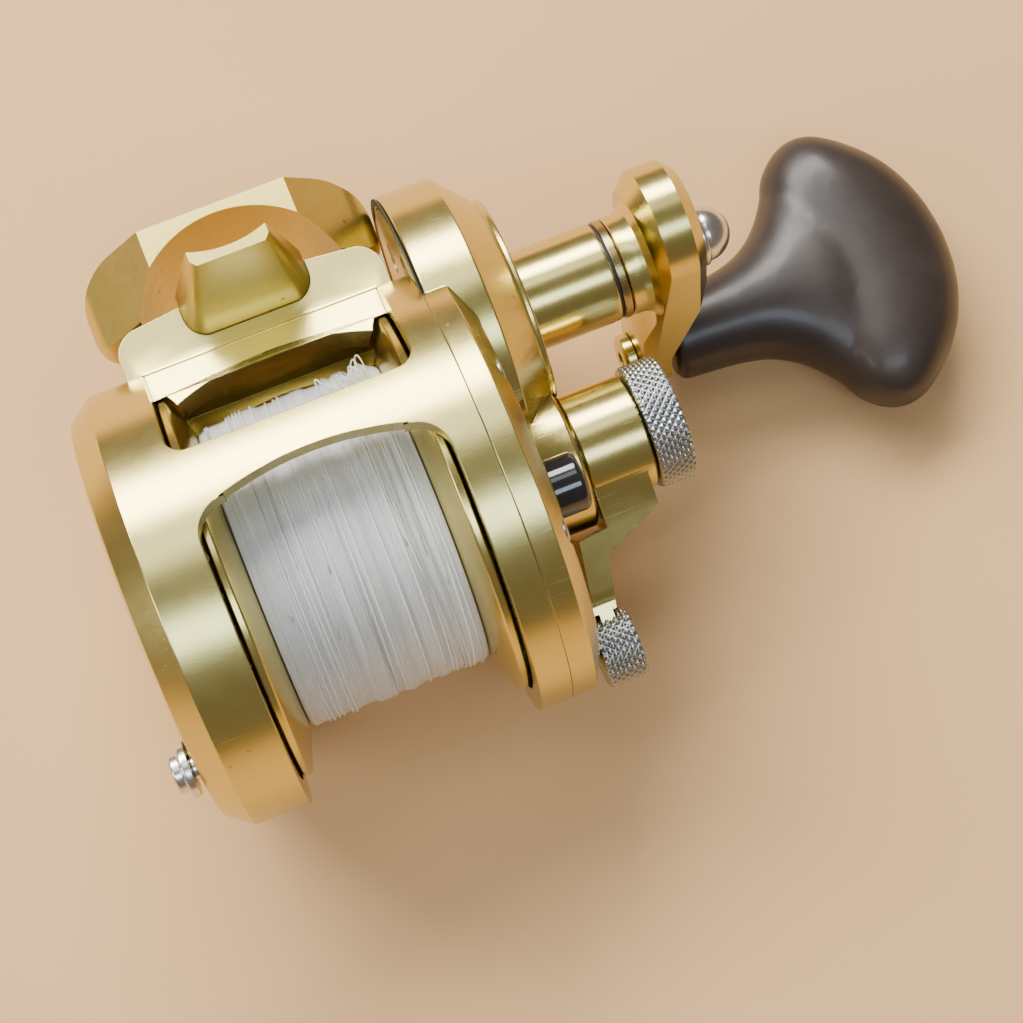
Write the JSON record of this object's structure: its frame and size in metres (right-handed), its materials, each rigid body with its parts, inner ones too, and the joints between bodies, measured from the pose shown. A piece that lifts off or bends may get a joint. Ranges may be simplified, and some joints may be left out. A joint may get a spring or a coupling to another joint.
{
  "type": "lever drag trolling reel",
  "caption": "Gold lever drag trolling reel: one-piece frame, line-filled spool, geared side plate, drag lever, cranked handle with T grip, and rod clamp.",
  "frame": {"origin": "on the spool axis, midway between the two rings of the frame", "axes": "+X along the spool axis to the handle side, +Y from the spool axis to the rod foot, +Z up with the reel lying on its rings; in use -Y is up and +Z is forward"},
  "size_m": [0.155, 0.092, 0.072],
  "materials": {
    "gold": "satin gold anodised",
    "gold_lever": "polished gold anodised",
    "gold_spool": "satin gold anodised, turned",
    "steel": "machined stainless steel",
    "knurled_steel": "diamond knurled",
    "spring_steel": "spring wire and strip",
    "chrome": "polished",
    "brass": "machined",
    "line": "nylon monofilament, wound",
    "carbon": "woven carbon friction ring",
    "black_plastic": "glossy black",
    "seal": "matt rubber",
    "bridge": "gold anodised, milled",
    "grip": "satin moulded"
  },
  "bodies": {
    "frame": {"frame": "gold", "rod_foot": "gold", "foot_screws": "steel", "rod_clamp": "gold", "clamp_studs": "steel", "clamp_nuts": "steel", "shaft_bearing_left": "steel", "left_bearing_cap": "gold", "right_side_plate": "gold", "bridge_plate": "bridge", "side_plate_screws": "steel", "handle_post": "gold", "gear_bearing_inner": "steel", "gear_bearing_outer": "steel", "pinion_bearing": "steel", "dog_pins": "steel", "dog_springs": "spring_steel", "post_seal": "seal", "strike_spring": "spring_steel"},
    "spool": {"spool": "gold_spool", "fishing_line": "line", "click_gear": "brass", "spool_bearing_left": "steel", "spool_bearing_right": "steel", "drag_washer": "carbon"},
    "rotor": {"spool_shaft": "steel", "shaft_circlip": "spring_steel", "drag_disc": "steel", "drag_spring_washers": "spring_steel", "pinion_gear": "brass"},
    "handle": {"gear_shaft": "steel", "main_gear": "brass", "ratchet_wheel": "steel", "post_ring": "steel", "handle_arm": "gold", "handle_nut": "chrome", "handle_lock_screw": "chrome", "grip_axle": "gold", "axle_nut": "steel"},
    "grip": {"grip": "grip", "grip_bushes": "brass"},
    "dog_left": {"dog_left": "steel"},
    "dog_right": {"dog_right": "steel"},
    "lever": {"drag_lever": "gold_lever", "lever_knob": "knurled_steel", "lever_knob_screw": "steel", "drag_cam": "steel", "cam_bearing": "steel"},
    "preset": {"preset_knob": "knurled_steel", "preset_screw": "steel"},
    "strike": {"strike_button": "black_plastic"},
    "clicker": {"clicker_button": "chrome", "click_slider": "black_plastic", "click_spring": "spring_steel"},
    "pawl": {"click_pawl": "brass"}
  },
  "joints": [
    {"name": "handle_spin", "type": "hinge", "parent": "frame", "child": "handle", "pos_m": [0.06, 0.02621, 0.00141], "axis": [1, 0, 0], "continuous": true},
    {"name": "rotor_spin", "type": "hinge", "parent": "frame", "child": "rotor", "pos_m": [0, 0, 0], "axis": [1, 0, 0], "continuous": true},
    {"name": "spool_spin", "type": "hinge", "parent": "frame", "child": "spool", "pos_m": [0, 0, 0], "axis": [1, 0, 0], "continuous": true},
    {"name": "grip_spin", "type": "hinge", "parent": "handle", "child": "grip", "pos_m": [0.09, 0.019, -0.026], "axis": [1, 0, 0], "continuous": true},
    {"name": "lever_swing", "type": "hinge", "parent": "frame", "child": "lever", "pos_m": [0.045, 0, 0], "axis": [1, 0, 0], "range_deg": [-40, 26]},
    {"name": "preset_turn", "type": "hinge", "parent": "lever", "child": "preset", "pos_m": [0.0535, 0, 0], "axis": [1, 0, 0], "range_deg": [-180, 180]},
    {"name": "strike_press", "type": "slide", "parent": "frame", "child": "strike", "axis": [-1, 0, 0], "range_m": [0, 0.0013], "stiffness_N_per_m": 400},
    {"name": "clicker_slide", "type": "slide", "parent": "frame", "child": "clicker", "axis": [0, 0.9063, -0.4226], "range_m": [0, 0.004]},
    {"name": "pawl_tick", "type": "hinge", "parent": "clicker", "child": "pawl", "pos_m": [-0.0215, -0.02084, 0.00972], "axis": [1, 0, 0], "range_deg": [-12, 12], "stiffness_Nm_per_rad": 0.002},
    {"name": "dog_left_swing", "type": "hinge", "parent": "frame", "child": "dog_left", "pos_m": [0.033, 0.03291, 0.01302], "axis": [1, 0, 0], "range_deg": [0, 8], "stiffness_Nm_per_rad": 0.002},
    {"name": "dog_right_swing", "type": "hinge", "parent": "frame", "child": "dog_right", "pos_m": [0.033, 0.01951, -0.01019], "axis": [1, 0, 0], "range_deg": [0, 8], "stiffness_Nm_per_rad": 0.002}
  ],
  "couplings": [
    {"joint": "rotor_spin", "follows": "handle_spin", "ratio": -4.3846},
    {"joint": "spool_spin", "follows": "handle_spin", "ratio": -4.3846}
  ]
}
